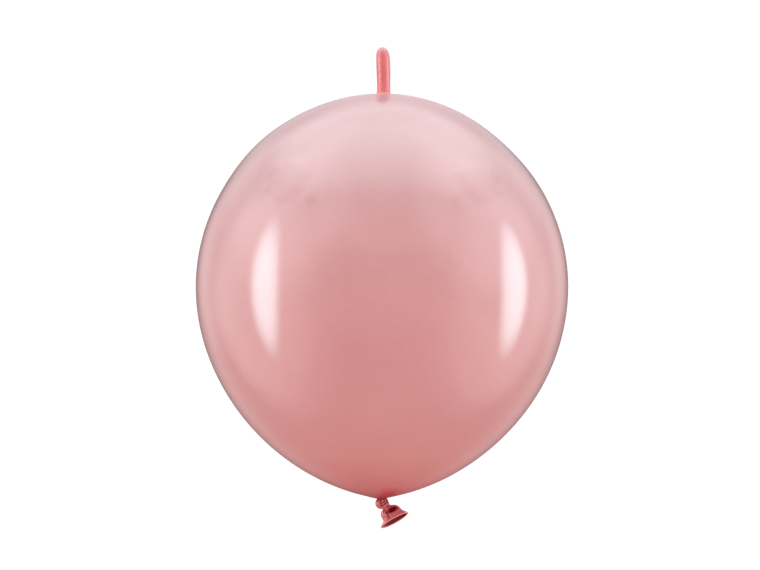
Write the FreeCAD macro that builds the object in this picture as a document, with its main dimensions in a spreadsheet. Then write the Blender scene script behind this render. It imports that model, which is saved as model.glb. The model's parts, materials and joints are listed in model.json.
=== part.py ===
import FreeCAD, Part
import math
import os
import Sketcher

# Inflated latex balloon with a closed linking tail on top and a knotted,
# flared mouth underneath. Millimetres. The origin is the lowest point of the
# film on the balloon's own axis, where the neck is tied; +Z runs up through
# the tail, +X is the side the mouth hangs towards, +Y is the far side.

os.makedirs("parts", exist_ok=True)
doc = FreeCAD.newDocument("latex_balloon")
Vector = FreeCAD.Vector

DIMENSIONS = [
    ("body_radius", 165.0),      # widest radius of the inflated body
    ("crown_height", 359.0),     # top of the film under the tail
    ("equator_height", 187.7),   # height of the widest ring
    ("crown_reach", 88.1),       # how far the crown stays flat
    ("shoulder_reach", 92.8),    # how far the side stays upright above the widest ring
    ("hip_reach", 91.8),         # the same below the widest ring
    ("pole_reach", 87.1),        # how far the underside keeps its slope
    ("pole_rise", 16.3),         # height gained over that reach
    ("pole_radius", 6.0),        # film edge round the gathered neck
    ("pole_height", 0.4),        # height of that edge
    ("film", 0.3),               # film thickness as moulded
    ("film_scale", 0.9982),      # inside reaches over outside ones, for an even film
    ("collar_radius", 9.0),      # thicker film round the tail root
    ("collar_rise", 2.4),        # top of the collar above the crown
    ("collar_dip", 0.55),        # underside of the collar below the crown
    ("collar_crest", 0.9),       # flat top of the collar round the tail
    ("collar_flank", 1.5),       # where its side starts to run out
    ("collar_foot", 2.2),        # where it meets the film
    ("collar_brim", 0.8),        # thin edge lying on the film
    ("cutter_reach", 4.0),       # the crown hole is cut this far above and below
    ("tail_pivot_rise", 6.4),    # bending centre of the tail root above the crown
    ("tail_root_radius", 5.9),   # outside radius of the lower half of the tail
    ("tail_radius", 6.2),        # outside radius of the upper half of the tail
    ("tail_wall", 0.6),          # tail wall, hardly stretched
    ("tail_bore", 3.0),          # air passage between the tail's rounded ends
    ("tail_gap", 0.35),          # free gap round a rounded end
    ("tail_lower_length", 6.6),  # straight wall of the lower half
    ("tail_lower_pitch", 10.6),  # distance between the two bending centres
    ("tail_upper_length", 14.6), # straight wall of the upper half
    ("tip_length", 8.8),         # rounded closed end
    ("tip_wall", 1.6),           # thickness at the very end
    ("neck_radius", 5.6),        # bunched film closing the pole
    ("neck_foot_radius", 4.8),
    ("neck_height", 0.65),       # underside of the bunched film
    ("neck_depth", 1.5),
    ("neck_shoulder", 0.5),      # how far its upper edge draws in
    ("pleat_radius", 0.42),
    ("knot_x", 1.8),             # centre of the knot
    ("knot_drop", 5.2),
    ("mouth_lean", 30.0),        # lean of the knot and the mouth from straight down, degrees
    ("wrap_ring_radius", 3.5),   # middle of the loop round the strand
    ("wrap_strand_radius", 1.8), # half thickness of the loop
    ("wrap_half_straight", 1.0),
    ("strand_radius", 1.7),
    ("strand_top", 2.7),         # strand above the knot centre
    ("strand_chamfer", 0.8),
    ("mouth_pivot_drop", 4.2),   # bending centre of the mouth below the knot centre
    ("mouth_gap", 1.5),          # throat of the mouth below its bending centre
    ("cuff_wall", 0.5),
    ("throat_radius", 2.1),
    ("throat_flat", 0.1),        # half the straight part of the throat's section
    ("cuff_length", 12.0),
    ("mouth_slant", 24.0),       # the far lip hangs lower than the near one, degrees
    ("mouth_shift", 2.45),       # the mouth's middle lies beside its bending centre
    ("lip_half_length", 13.0),   # flattened mouth, outside of the bead
    ("lip_half_width", 4.9),
    ("lip_band", 1.1),           # thickness of the rolled bead
    ("lip_height", 1.4),
    ("lip_round", 0.45),
]

PLEAT_COUNT = 14
DOME_SIDE = 0.68                 # how long the tip's dome stays upright, share of its height
DOME_TOP = 0.62                  # how long its top stays flat, share of its radius
FLANK_HEIGHT = 0.45              # turning point of the collar's side, share of its rise
FLANK_FOOT = 0.1                 # where that side runs out, share of the collar's dip
BRIM_TOP = 0.3                   # the brim's inner and outer upper edge, shares of the dip
BRIM_EDGE = 0.5
NECK_SIDE_LOW = 0.3              # upright side of the bunched film, shares of its depth
NECK_SIDE_HIGH = 0.8
LIP_OVERHANG = 0.3               # share of the bead that stands outside the cuff
TOLERANCE = 0.01

sheet = doc.addObject("Spreadsheet::Sheet", "dims")
for row, (alias, number) in enumerate(DIMENSIONS, start=1):
    sheet.set("A" + str(row), alias)
    sheet.set("B" + str(row), str(number))
    sheet.setAlias("B" + str(row), alias)
doc.recompute()


class Length:
    """A number kept together with the spreadsheet expression that gives it."""

    def __init__(self, number, text):
        self.number = float(number)
        self.text = text

    def __add__(self, other):
        other = as_length(other)
        return Length(self.number + other.number, "(" + self.text + " + " + other.text + ")")

    def __sub__(self, other):
        other = as_length(other)
        return Length(self.number - other.number, "(" + self.text + " - " + other.text + ")")

    def __mul__(self, other):
        other = as_length(other)
        return Length(self.number * other.number, "(" + self.text + " * " + other.text + ")")

    def __neg__(self):
        return Length(-self.number, "(0 - " + self.text + ")")


def as_length(thing):
    """Plain numbers take part in sums with spreadsheet lengths."""
    if isinstance(thing, Length):
        return thing
    return Length(thing, repr(float(thing)))


dim = {}
for alias, number in DIMENSIONS:
    dim[alias] = Length(number, "dims." + alias)

ZERO = as_length(0.0)

# Headings that rounded outlines bulge towards, degrees.
UP = 90
DOWN = -90
RIGHT_DOWN = -45


def sine_of(angle):
    return Length(math.sin(math.radians(angle.number)), "sin(" + angle.text + ")")


def cosine_of(angle):
    return Length(math.cos(math.radians(angle.number)), "cos(" + angle.text + ")")


def root_of(length, square):
    """The other side of a right triangle with this long side and this short side."""
    number = math.sqrt(length.number ** 2 - square.number ** 2)
    text = "sqrt(" + length.text + " ^ 2 - " + square.text + " ^ 2)"
    return Length(number, text)


def add_body(label, x=ZERO, z=ZERO, lean=None):
    """An empty body whose placement follows the spreadsheet."""
    body = doc.addObject("PartDesign::Body", label)
    body.Label = label
    angle = 0.0 if lean is None else lean.number
    body.Placement = FreeCAD.Placement(
        Vector(x.number, 0, z.number), FreeCAD.Rotation(Vector(0, -1, 0), angle))
    body.setExpression("Placement.Base.x", x.text)
    body.setExpression("Placement.Base.z", z.text)
    if lean is not None:
        body.setExpression("Placement.Rotation.Angle", lean.text)
    return body


def add_sketch(body, label, role, offset=None, slant=None):
    """A sketch on one of the body's own origin planes, moved off it and tipped if asked."""
    sketch = body.newObject("Sketcher::SketchObject", label)
    plane = None
    for feature in body.Origin.OriginFeatures:
        if feature.Role == role:
            plane = feature
    sketch.AttachmentSupport = (plane, "")
    sketch.MapMode = "FlatFace"
    if offset is not None:
        angle = 0.0 if slant is None else slant.number
        sketch.AttachmentOffset = FreeCAD.Placement(
            Vector(0, 0, offset.number), FreeCAD.Rotation(Vector(1, 0, 0), angle))
        sketch.setExpression("AttachmentOffset.Base.z", offset.text)
        if slant is not None:
            sketch.setExpression("AttachmentOffset.Rotation.Angle", slant.text)
    return sketch


def pin_point(sketch, geometry, position, x, y):
    """Ties one point of the drawing to spreadsheet lengths."""
    if x is not None:
        if x.number == 0.0:
            sketch.addConstraint(Sketcher.Constraint("PointOnObject", geometry, position, -2))
        else:
            index = sketch.addConstraint(
                Sketcher.Constraint("DistanceX", -1, 1, geometry, position, x.number))
            sketch.setExpression("Constraints[" + str(index) + "]", x.text)
    if y is not None:
        if y.number == 0.0:
            sketch.addConstraint(Sketcher.Constraint("PointOnObject", geometry, position, -1))
        else:
            index = sketch.addConstraint(
                Sketcher.Constraint("DistanceY", -1, 1, geometry, position, y.number))
            sketch.setExpression("Constraints[" + str(index) + "]", y.text)


def flat(point):
    return Vector(point[0].number, point[1].number, 0)


def draw_line(sketch, start, end):
    """A line with its start tied down; the end joins whatever comes next."""
    return sketch.addGeometry(Part.LineSegment(flat(start), flat(end)), False)


def draw_curve(sketch, poles):
    """A smooth four-pole curve with its poles tied to the spreadsheet."""
    curve = Part.BSplineCurve()
    curve.buildFromPolesMultsKnots([flat(pole) for pole in poles], [4, 4], [0, 1], False, 3)
    geometry = sketch.addGeometry(curve, False)
    first_circle = sketch.GeometryCount
    sketch.exposeInternalGeometry(geometry)
    for number, pole in enumerate(poles):
        pin_point(sketch, first_circle + number, 3, pole[0], pole[1])
    return geometry


def draw_arc(sketch, center, start, end, heading):
    """A circular arc about a tied centre, bulging towards a heading in degrees."""
    radius = (flat(start) - flat(center)).Length
    turn = math.radians(heading)
    bulge = flat(center) + Vector(radius * math.cos(turn), radius * math.sin(turn), 0)
    curve = Part.Arc(flat(start), bulge, flat(end))
    geometry = sketch.addGeometry(curve, False)
    pin_point(sketch, geometry, 3, center[0], center[1])
    return geometry


def join(sketch, first, first_end, second, second_end):
    sketch.addConstraint(Sketcher.Constraint("Coincident", first, first_end, second, second_end))


def draw_loop(sketch, points):
    """A closed outline of straight lines with every corner tied down."""
    lines = []
    for number, point in enumerate(points):
        following = points[(number + 1) % len(points)]
        lines.append(draw_line(sketch, point, following))
    for number, line in enumerate(lines):
        join(sketch, line, 2, lines[(number + 1) % len(lines)], 1)
        pin_point(sketch, line, 1, points[number][0], points[number][1])
    return lines


def draw_stadium(sketch, center_x, half_length, half_width):
    """A flattened tube section: two straight sides and two round ends."""
    straight = half_length - half_width
    right = center_x + straight
    left = center_x - straight
    radius = half_width.number
    top = draw_line(sketch, (right, half_width), (left, half_width))
    bottom = draw_line(sketch, (left, -half_width), (right, -half_width))
    right_circle = Part.Circle(Vector(right.number, 0, 0), Vector(0, 0, 1), radius)
    left_circle = Part.Circle(Vector(left.number, 0, 0), Vector(0, 0, 1), radius)
    right_arc = sketch.addGeometry(
        Part.ArcOfCircle(right_circle, -math.pi / 2, math.pi / 2), False)
    left_arc = sketch.addGeometry(
        Part.ArcOfCircle(left_circle, math.pi / 2, 3 * math.pi / 2), False)
    join(sketch, right_arc, 2, top, 1)
    join(sketch, top, 2, left_arc, 1)
    join(sketch, left_arc, 2, bottom, 1)
    join(sketch, bottom, 2, right_arc, 1)
    pin_point(sketch, top, 1, right, half_width)
    pin_point(sketch, top, 2, left, half_width)
    pin_point(sketch, bottom, 1, left, -half_width)
    pin_point(sketch, bottom, 2, right, -half_width)
    pin_point(sketch, right_arc, 3, right, None)
    pin_point(sketch, left_arc, 3, left, None)


def revolve(body, label, sketch):
    """Turns a half section once round the body's own Z axis."""
    feature = body.newObject("PartDesign::Revolution", label)
    feature.Profile = sketch
    feature.ReferenceAxis = (sketch, ["V_Axis"])
    feature.Angle = 360
    return feature


def draw_round_end_tube(sketch, radius, wall, bore, length):
    """Half section of a tube with a rounded, bored lower end centred on the origin."""
    inner = radius - wall
    outer_drop = root_of(radius, bore)
    inner_drop = root_of(inner, bore)
    outer_arc = draw_arc(sketch, (ZERO, ZERO), (bore, -outer_drop), (radius, ZERO), RIGHT_DOWN)
    outer_wall = draw_line(sketch, (radius, ZERO), (radius, length))
    rim = draw_line(sketch, (radius, length), (inner, length))
    inner_wall = draw_line(sketch, (inner, length), (inner, ZERO))
    inner_arc = draw_arc(sketch, (ZERO, ZERO), (bore, -inner_drop), (inner, ZERO), RIGHT_DOWN)
    bore_line = draw_line(sketch, (bore, -inner_drop), (bore, -outer_drop))
    join(sketch, outer_arc, 2, outer_wall, 1)
    join(sketch, outer_wall, 2, rim, 1)
    join(sketch, rim, 2, inner_wall, 1)
    join(sketch, inner_wall, 2, inner_arc, 2)
    join(sketch, inner_arc, 1, bore_line, 1)
    join(sketch, bore_line, 2, outer_arc, 1)
    pin_point(sketch, outer_wall, 1, radius, ZERO)
    pin_point(sketch, outer_wall, 2, radius, length)
    pin_point(sketch, inner_wall, 1, inner, length)
    pin_point(sketch, inner_wall, 2, inner, ZERO)
    pin_point(sketch, bore_line, 1, bore, None)
    pin_point(sketch, bore_line, 2, bore, None)


bodies = []

# The inflated film: one thin closed skin, open only at the tail and the neck.
skin = add_body("balloon_skin")
bodies.append(skin)
profile = add_sketch(skin, "skin_profile", "XZ_Plane")
crown = (ZERO, dim["crown_height"])
side = (dim["body_radius"], dim["equator_height"])
pole = (dim["pole_radius"], dim["pole_height"])
outer_upper = draw_curve(profile, [
    crown,
    (dim["crown_reach"], dim["crown_height"]),
    (dim["body_radius"], dim["equator_height"] + dim["shoulder_reach"]),
    side,
])
outer_lower = draw_curve(profile, [
    side,
    (dim["body_radius"], dim["equator_height"] - dim["hip_reach"]),
    (dim["pole_radius"] + dim["pole_reach"], dim["pole_height"] + dim["pole_rise"]),
    pole,
])
inner_side = (dim["body_radius"] - dim["film"], dim["equator_height"])
inner_pole = (dim["pole_radius"], dim["pole_height"] + dim["film"])
inner_crown = (ZERO, dim["crown_height"] - dim["film"])
even = dim["film_scale"]
inner_lower = draw_curve(profile, [
    inner_pole,
    (dim["pole_radius"] + dim["pole_reach"] * even,
     dim["pole_height"] + dim["pole_rise"] * even + dim["film"]),
    (dim["body_radius"] - dim["film"], dim["equator_height"] - dim["hip_reach"] * even),
    inner_side,
])
inner_upper = draw_curve(profile, [
    inner_side,
    (dim["body_radius"] - dim["film"], dim["equator_height"] + dim["shoulder_reach"] * even),
    (dim["crown_reach"] * even, dim["crown_height"] - dim["film"]),
    inner_crown,
])
pole_edge = draw_line(profile, pole, inner_pole)
axis_edge = draw_line(profile, inner_crown, crown)
join(profile, outer_lower, 2, pole_edge, 1)
join(profile, pole_edge, 2, inner_lower, 1)
join(profile, inner_upper, 2, axis_edge, 1)
join(profile, axis_edge, 2, outer_upper, 1)
doc.recompute()
revolve(skin, "skin_film", profile)
doc.recompute()
sealed_volume = skin.Shape.Volume
hole = add_sketch(skin, "crown_hole_profile", "XZ_Plane")
hole_floor = dim["crown_height"] - dim["cutter_reach"]
hole_top = dim["crown_height"] + dim["cutter_reach"]
draw_loop(hole, [
    (ZERO, hole_floor),
    (dim["collar_radius"], hole_floor),
    (dim["collar_radius"], hole_top),
    (ZERO, hole_top),
])
doc.recompute()
crown_hole = skin.newObject("PartDesign::Groove", "crown_hole")
crown_hole.Profile = hole
crown_hole.ReferenceAxis = (hole, ["V_Axis"])
crown_hole.Angle = 360
doc.recompute()
assert skin.Shape.Volume < sealed_volume

# The thicker ring of film where the tail is moulded on, with the air passage.
collar = add_body("crown_collar", z=dim["crown_height"])
bodies.append(collar)
seat_radius = dim["tail_root_radius"] + dim["tail_gap"]
seat_top_drop = dim["tail_pivot_rise"] - dim["collar_rise"]
seat_top_radius = root_of(seat_radius, seat_top_drop)
seat_bore_drop = root_of(seat_radius, dim["tail_bore"])
seat_low = (dim["tail_bore"], dim["tail_pivot_rise"] - seat_bore_drop)
seat_high = (seat_top_radius, dim["collar_rise"])
crest_end = (seat_top_radius + dim["collar_crest"], dim["collar_rise"])
rim_high = (dim["collar_radius"], -(dim["collar_dip"] * BRIM_EDGE))
rim_low = (dim["collar_radius"], -dim["collar_dip"])
fillet_foot = (dim["collar_radius"] - dim["collar_brim"], -(dim["collar_dip"] * BRIM_TOP))
section = add_sketch(collar, "collar_profile", "XZ_Plane")
seat = draw_arc(section, (ZERO, dim["tail_pivot_rise"]), seat_low, seat_high, RIGHT_DOWN)
crest = draw_line(section, seat_high, crest_end)
flank = draw_curve(section, [
    crest_end,
    (seat_top_radius + dim["collar_flank"], dim["collar_rise"] * FLANK_HEIGHT),
    (seat_top_radius + dim["collar_foot"], dim["collar_dip"] * FLANK_FOOT),
    fillet_foot,
])
brim = draw_line(section, fillet_foot, rim_high)
edge = draw_line(section, rim_high, rim_low)
under = draw_line(section, rim_low, (dim["tail_bore"], -dim["collar_dip"]))
passage = draw_line(section, (dim["tail_bore"], -dim["collar_dip"]), seat_low)
join(section, seat, 2, crest, 1)
join(section, crest, 2, flank, 1)
join(section, flank, 2, brim, 1)
join(section, brim, 2, edge, 1)
join(section, edge, 2, under, 1)
join(section, under, 2, passage, 1)
join(section, passage, 2, seat, 1)
pin_point(section, edge, 1, rim_high[0], rim_high[1])
pin_point(section, edge, 2, rim_low[0], rim_low[1])
pin_point(section, under, 2, dim["tail_bore"], -dim["collar_dip"])
pin_point(section, passage, 2, dim["tail_bore"], seat_low[1])
doc.recompute()
revolve(collar, "collar_ring", section)

# The hollow tail in two halves, each with a rounded lower end to bend about.
root_centre = dim["crown_height"] + dim["tail_pivot_rise"]
middle_centre = root_centre + dim["tail_lower_pitch"]
lower = add_body("tail_lower", z=root_centre)
bodies.append(lower)
section = add_sketch(lower, "tail_lower_profile", "XZ_Plane")
draw_round_end_tube(
    section, dim["tail_root_radius"], dim["tail_wall"], dim["tail_bore"],
    dim["tail_lower_length"])
doc.recompute()
revolve(lower, "tail_lower_tube", section)

upper = add_body("tail_upper", z=middle_centre)
bodies.append(upper)
section = add_sketch(upper, "tail_upper_profile", "XZ_Plane")
draw_round_end_tube(
    section, dim["tail_radius"], dim["tail_wall"], dim["tail_bore"], dim["tail_upper_length"])
doc.recompute()
revolve(upper, "tail_upper_tube", section)

# The closed tip, thicker because it is hardly inflated.
tip = add_body("tail_tip", z=middle_centre + dim["tail_upper_length"])
bodies.append(tip)
section = add_sketch(tip, "tail_tip_profile", "XZ_Plane")
tip_inner = dim["tail_radius"] - dim["tail_wall"]
tip_hollow = dim["tip_length"] - dim["tip_wall"]
dome = draw_curve(section, [
    (dim["tail_radius"], ZERO),
    (dim["tail_radius"], dim["tip_length"] * DOME_SIDE),
    (dim["tail_radius"] * DOME_TOP, dim["tip_length"]),
    (ZERO, dim["tip_length"]),
])
hollow = draw_curve(section, [
    (ZERO, tip_hollow),
    (tip_inner * DOME_TOP, tip_hollow),
    (tip_inner, tip_hollow * DOME_SIDE),
    (tip_inner, ZERO),
])
nub = draw_line(section, (ZERO, dim["tip_length"]), (ZERO, tip_hollow))
seam = draw_line(section, (tip_inner, ZERO), (dim["tail_radius"], ZERO))
join(section, dome, 2, nub, 1)
join(section, nub, 2, hollow, 1)
join(section, hollow, 2, seam, 1)
join(section, seam, 2, dome, 1)
doc.recompute()
revolve(tip, "tail_tip_dome", section)

# The bunched film that closes the pole, scalloped by its pleats.
neck = add_body("neck_gather", z=dim["neck_height"])
bodies.append(neck)
section = add_sketch(neck, "neck_profile", "XZ_Plane")
draw_loop(section, [
    (ZERO, ZERO),
    (dim["neck_foot_radius"], ZERO),
    (dim["neck_radius"], dim["neck_depth"] * NECK_SIDE_LOW),
    (dim["neck_radius"] - dim["neck_shoulder"], dim["neck_depth"] * NECK_SIDE_HIGH),
    (ZERO, dim["neck_depth"]),
])
doc.recompute()
revolve(neck, "neck_plug", section)
doc.recompute()
plug_volume = neck.Shape.Volume
scallop = add_sketch(neck, "pleat_outline", "XY_Plane", offset=-dim["neck_depth"])
circle = scallop.addGeometry(
    Part.Circle(Vector(dim["neck_radius"].number, 0, 0), Vector(0, 0, 1),
                dim["pleat_radius"].number), False)
pin_point(scallop, circle, 3, dim["neck_radius"], ZERO)
index = scallop.addConstraint(Sketcher.Constraint("Radius", circle, dim["pleat_radius"].number))
scallop.setExpression("Constraints[" + str(index) + "]", dim["pleat_radius"].text)
doc.recompute()
pleat = neck.newObject("PartDesign::Pocket", "pleat")
pleat.Profile = scallop
pleat.Type = "ThroughAll"
pleat.Reversed = True
doc.recompute()
pleats = neck.newObject("PartDesign::PolarPattern", "pleats")
pleats.Originals = [pleat]
pleats.Axis = (scallop, ["N_Axis"])
pleats.Angle = 360
neck.Tip = pleats
pleats.Occurrences = PLEAT_COUNT
doc.recompute()
assert neck.Shape.Volume < plug_volume

# The loop of the overhand knot, lying round the strand it holds.
knot_height = -dim["knot_drop"]
wrap = add_body("knot_wrap", x=dim["knot_x"], z=knot_height, lean=dim["mouth_lean"])
bodies.append(wrap)
section = add_sketch(wrap, "wrap_profile", "XZ_Plane")
ring = dim["wrap_ring_radius"]
half = dim["wrap_strand_radius"]
tall = dim["wrap_half_straight"]
outer_side = draw_line(section, (ring + half, -tall), (ring + half, tall))
top_bend = draw_arc(
    section, (ring, tall), (ring + half, tall), (ring - half, tall), UP)
inner_side_line = draw_line(section, (ring - half, tall), (ring - half, -tall))
low_bend = draw_arc(
    section, (ring, -tall), (ring - half, -tall), (ring + half, -tall), DOWN)
join(section, outer_side, 2, top_bend, 1)
join(section, top_bend, 2, inner_side_line, 1)
join(section, inner_side_line, 2, low_bend, 1)
join(section, low_bend, 2, outer_side, 1)
pin_point(section, outer_side, 1, ring + half, -tall)
pin_point(section, outer_side, 2, ring + half, tall)
pin_point(section, inner_side_line, 1, None, tall)
pin_point(section, inner_side_line, 2, None, -tall)
doc.recompute()
revolve(wrap, "wrap_loop", section)

# The bunched strand through the loop; it ends in the ball the mouth bends about.
strand = add_body("knot_strand", x=dim["knot_x"], z=knot_height, lean=dim["mouth_lean"])
bodies.append(strand)
section = add_sketch(strand, "strand_profile", "XZ_Plane")
thick = dim["strand_radius"]
low_center = (ZERO, -dim["mouth_pivot_drop"])
side_low = (thick, -dim["mouth_pivot_drop"])
side_high = (thick, dim["strand_top"] - dim["strand_chamfer"])
cap_edge = (thick - dim["strand_chamfer"], dim["strand_top"])
cap_middle = (ZERO, dim["strand_top"])
ball_end = (ZERO, -(dim["mouth_pivot_drop"] + thick))
shank = draw_line(section, side_low, side_high)
shoulder = draw_line(section, side_high, cap_edge)
cap = draw_line(section, cap_edge, cap_middle)
spine = draw_line(section, cap_middle, ball_end)
ball = draw_arc(section, low_center, ball_end, side_low, RIGHT_DOWN)
join(section, shank, 2, shoulder, 1)
join(section, shoulder, 2, cap, 1)
join(section, cap, 2, spine, 1)
join(section, spine, 2, ball, 1)
join(section, ball, 2, shank, 1)
pin_point(section, shank, 1, side_low[0], side_low[1])
pin_point(section, shank, 2, side_high[0], side_high[1])
pin_point(section, cap, 1, cap_edge[0], cap_edge[1])
pin_point(section, cap, 2, cap_middle[0], cap_middle[1])
pin_point(section, spine, 2, ZERO, None)
doc.recompute()
revolve(strand, "strand_core", section)

# The flared mouth: a thin flattened cuff hanging from the knot, open below.
mouth_x = dim["knot_x"] + dim["mouth_pivot_drop"] * sine_of(dim["mouth_lean"])
mouth_z = knot_height - dim["mouth_pivot_drop"] * cosine_of(dim["mouth_lean"])
cuff = add_body("mouth_cuff", x=mouth_x, z=mouth_z, lean=dim["mouth_lean"])
bodies.append(cuff)
lip_skin_length = dim["lip_half_length"] - dim["lip_band"] * LIP_OVERHANG
lip_skin_width = dim["lip_half_width"] - dim["lip_band"] * LIP_OVERHANG
# drop below the throat, half length, half width and slant, as shares of the whole
CUFF_STATIONS = [
    (0.10, 0.53, 0.74, 0.0),
    (0.26, 0.68, 0.92, 0.1),
    (0.50, 0.735, 0.92, 0.3),
    (0.75, 0.79, 0.90, 0.7),
    (1.0, 1.0, 1.0, 1.0),
]
throat_depth = -dim["mouth_gap"]
outer_sections = [add_sketch(cuff, "throat_outside", "XY_Plane", offset=throat_depth)]
draw_stadium(outer_sections[0], ZERO, dim["throat_radius"] + dim["throat_flat"], dim["throat_radius"])
inner_sections = [add_sketch(cuff, "throat_inside", "XY_Plane", offset=throat_depth)]
throat_bore = dim["throat_radius"] - dim["cuff_wall"]
draw_stadium(inner_sections[0], ZERO, throat_bore + dim["throat_flat"], throat_bore)
for number, (drop, length_share, width_share, slant_share) in enumerate(CUFF_STATIONS, start=1):
    depth = throat_depth - dim["cuff_length"] * drop
    half_length = lip_skin_length * length_share
    half_width = lip_skin_width * width_share
    slant = dim["mouth_slant"] * slant_share
    roof = dim["cuff_wall"] * (1.0 - drop)
    outline = add_sketch(cuff, "cuff_outside_" + str(number), "XY_Plane", depth, slant)
    draw_stadium(outline, dim["mouth_shift"], half_length, half_width)
    outer_sections.append(outline)
    bore = add_sketch(cuff, "cuff_inside_" + str(number), "XY_Plane", depth - roof, slant)
    draw_stadium(
        bore, dim["mouth_shift"], half_length - dim["cuff_wall"], half_width - dim["cuff_wall"])
    inner_sections.append(bore)
doc.recompute()
cuff_outside = cuff.newObject("PartDesign::AdditiveLoft", "cuff_outside")
cuff_outside.Profile = outer_sections[0]
cuff_outside.Sections = outer_sections[1:]
cuff_outside.Ruled = False
doc.recompute()
solid_volume = cuff.Shape.Volume
cuff_inside = cuff.newObject("PartDesign::SubtractiveLoft", "cuff_inside")
cuff_inside.Profile = inner_sections[0]
cuff_inside.Sections = inner_sections[1:]
cuff_inside.Ruled = False
doc.recompute()
assert cuff.Shape.Volume < 0.5 * solid_volume

# The rolled bead round the opening of the mouth.
lip = add_body("mouth_lip", x=mouth_x, z=mouth_z, lean=dim["mouth_lean"])
bodies.append(lip)
lip_depth = throat_depth - dim["cuff_length"]
outline = add_sketch(lip, "lip_outline", "XY_Plane", lip_depth, dim["mouth_slant"])
draw_stadium(outline, dim["mouth_shift"], dim["lip_half_length"], dim["lip_half_width"])
draw_stadium(
    outline, dim["mouth_shift"], dim["lip_half_length"] - dim["lip_band"],
    dim["lip_half_width"] - dim["lip_band"])
doc.recompute()
bead = lip.newObject("PartDesign::Pad", "lip_bead")
bead.Profile = outline
bead.Reversed = True
bead.Length = dim["lip_height"].number
bead.setExpression("Length", dim["lip_height"].text)
doc.recompute()
free_edges = []
for number, shape_edge in enumerate(bead.Shape.Edges, start=1):
    ends = [outline.Placement.inverse().multVec(vertex.Point) for vertex in shape_edge.Vertexes]
    if all(abs(end.z + dim["lip_height"].number) < TOLERANCE for end in ends):
        free_edges.append("Edge" + str(number))
rounding = lip.newObject("PartDesign::Fillet", "lip_rounding")
rounding.Base = (bead, free_edges)
rounding.Radius = dim["lip_round"].number
rounding.setExpression("Radius", dim["lip_round"].text)
doc.recompute()
assert len(free_edges) == 8

for item in doc.Objects:
    for state in ("Invalid", "Error"):
        if state in item.State:
            raise RuntimeError(item.Name + " is " + state)

for body in bodies:
    if body.Shape.isNull() or not body.Shape.isValid() or len(body.Shape.Solids) != 1:
        raise RuntimeError(body.Label + " has no single valid solid")
    body.Shape.exportStep("parts/" + body.Label + ".step")
    box = body.Shape.BoundBox
    print(body.Label, round(body.Shape.Volume, 2),
          [round(side, 2) for side in (box.XMin, box.XMax, box.YMin, box.YMax, box.ZMin, box.ZMax)])
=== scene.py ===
import json
import math

import bpy
import numpy
from mathutils import Matrix, Vector


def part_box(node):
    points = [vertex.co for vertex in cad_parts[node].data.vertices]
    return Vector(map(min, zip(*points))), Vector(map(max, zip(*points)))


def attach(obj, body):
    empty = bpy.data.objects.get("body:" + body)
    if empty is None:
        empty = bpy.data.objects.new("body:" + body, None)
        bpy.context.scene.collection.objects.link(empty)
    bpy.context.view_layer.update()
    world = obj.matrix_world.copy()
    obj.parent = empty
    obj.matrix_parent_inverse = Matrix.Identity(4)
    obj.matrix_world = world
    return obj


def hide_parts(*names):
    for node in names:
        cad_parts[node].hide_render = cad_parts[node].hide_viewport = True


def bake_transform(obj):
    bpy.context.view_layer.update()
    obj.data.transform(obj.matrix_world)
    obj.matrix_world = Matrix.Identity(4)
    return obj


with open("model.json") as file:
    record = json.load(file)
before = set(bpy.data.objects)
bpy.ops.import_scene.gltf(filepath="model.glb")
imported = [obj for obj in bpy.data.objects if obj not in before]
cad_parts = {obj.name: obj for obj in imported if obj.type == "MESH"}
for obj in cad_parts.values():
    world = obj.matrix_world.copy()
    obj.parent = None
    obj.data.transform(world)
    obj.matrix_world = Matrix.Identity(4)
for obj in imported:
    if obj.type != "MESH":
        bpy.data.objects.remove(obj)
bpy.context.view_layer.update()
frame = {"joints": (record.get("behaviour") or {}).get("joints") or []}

# An inflated latex balloon: egg-shaped body, closed linking tail on the crown,
# overhand knot under the pole and a flattened, flared mouth. Metres, row frame:
# +Z up the balloon's axis, +X right, +Y away from the camera.

MM = 0.001
joints = {joint["name"]: joint for joint in frame["joints"]}


def joint_point(name):
    return Vector(joints[name].get("pos_m", (0.0, 0.0, 0.0)))


def smooth(edge0, edge1, value):
    """Rises smoothly from 0 at edge0 to 1 at edge1."""
    share = min(1.0, max(0.0, (value - edge0) / (edge1 - edge0)))
    return share * share * (3.0 - 2.0 * share)


def bump(center, width, value):
    """A soft hump of height 1 at center."""
    return math.exp(-((value - center) / width) ** 2)


def between(points, value):
    """Reads a smooth curve through (position, height) points."""
    if value <= points[0][0]:
        return points[0][1]
    for index in range(len(points) - 1):
        x0, y0 = points[index]
        x1, y1 = points[index + 1]
        if value <= x1:
            before = points[max(index - 1, 0)]
            after = points[min(index + 2, len(points) - 1)]
            slope0 = (y1 - before[1]) / (x1 - before[0])
            slope1 = (after[1] - y0) / (after[0] - x0)
            t = (value - x0) / (x1 - x0)
            width = x1 - x0
            return (
                (2 * t ** 3 - 3 * t ** 2 + 1) * y0
                + (t ** 3 - 2 * t ** 2 + t) * width * slope0
                + (3 * t ** 2 - 2 * t ** 3) * y1
                + (t ** 3 - t ** 2) * width * slope1
            )
    return points[-1][1]


# ---------------------------------------------------------------- mesh helpers

def make_object(name, points, faces):
    mesh = bpy.data.meshes.new(name)
    mesh.from_pydata([tuple(point) for point in points], [], faces)
    mesh.validate()
    mesh.update()
    for polygon in mesh.polygons:
        polygon.use_smooth = True
    piece = bpy.data.objects.new(name, mesh)
    bpy.context.scene.collection.objects.link(piece)
    return piece


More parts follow.
